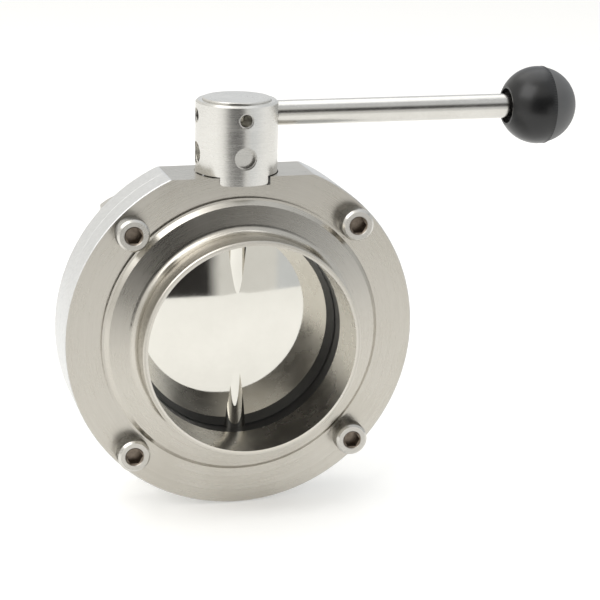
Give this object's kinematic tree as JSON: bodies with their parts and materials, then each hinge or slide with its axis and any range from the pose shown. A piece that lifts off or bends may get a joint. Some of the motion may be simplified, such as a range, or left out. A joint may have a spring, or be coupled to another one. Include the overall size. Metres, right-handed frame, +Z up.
{
  "type": "hygienic butterfly valve",
  "caption": "Stainless hygienic butterfly valve with weld ends, a bolted split body, a polished disc in a rubber seat, and a straight handle rod with a ball knob.",
  "frame": {"origin": "where the pipe axis crosses the stem axis", "axes": "+Z up along the stem, -Y the front weld end, +X the handle rod when closed"},
  "size_m": [0.2162, 0.065, 0.1763],
  "materials": {
    "body_steel": "turned and brushed stainless steel",
    "polished_steel": "mirror polished stainless steel",
    "hub_steel": "fine turned and polished stainless steel",
    "fastener_steel": "plain stainless fasteners",
    "seat_rubber": "black rubber",
    "bush_plastic": "natural plastic",
    "insert_brass": "plain brass",
    "knob_black": "glossy black plastic"
  },
  "bodies": {
    "body": {"front_body_half": "body_steel", "rear_body_half": "body_steel", "seat_ring": "seat_rubber", "body_screws": "fastener_steel", "body_nuts": "fastener_steel", "upper_stem_bush": "bush_plastic", "lower_stem_bush": "bush_plastic", "upper_stem_seal": "seat_rubber", "lower_stem_seal": "seat_rubber"},
    "handle": {"valve_disc": "polished_steel", "hub_washer": "bush_plastic", "handle_hub": "hub_steel", "hub_cap": "hub_steel", "handle_rod": "hub_steel", "knob_insert": "insert_brass", "ball_knob": "knob_black", "knob_end_cap": "knob_black"}
  },
  "joints": [
    {"name": "valve_turn", "type": "hinge", "parent": "body", "child": "handle", "pos_m": [0, 0, 0], "axis": [0, 0, 1], "range_deg": [0, 90]}
  ]
}
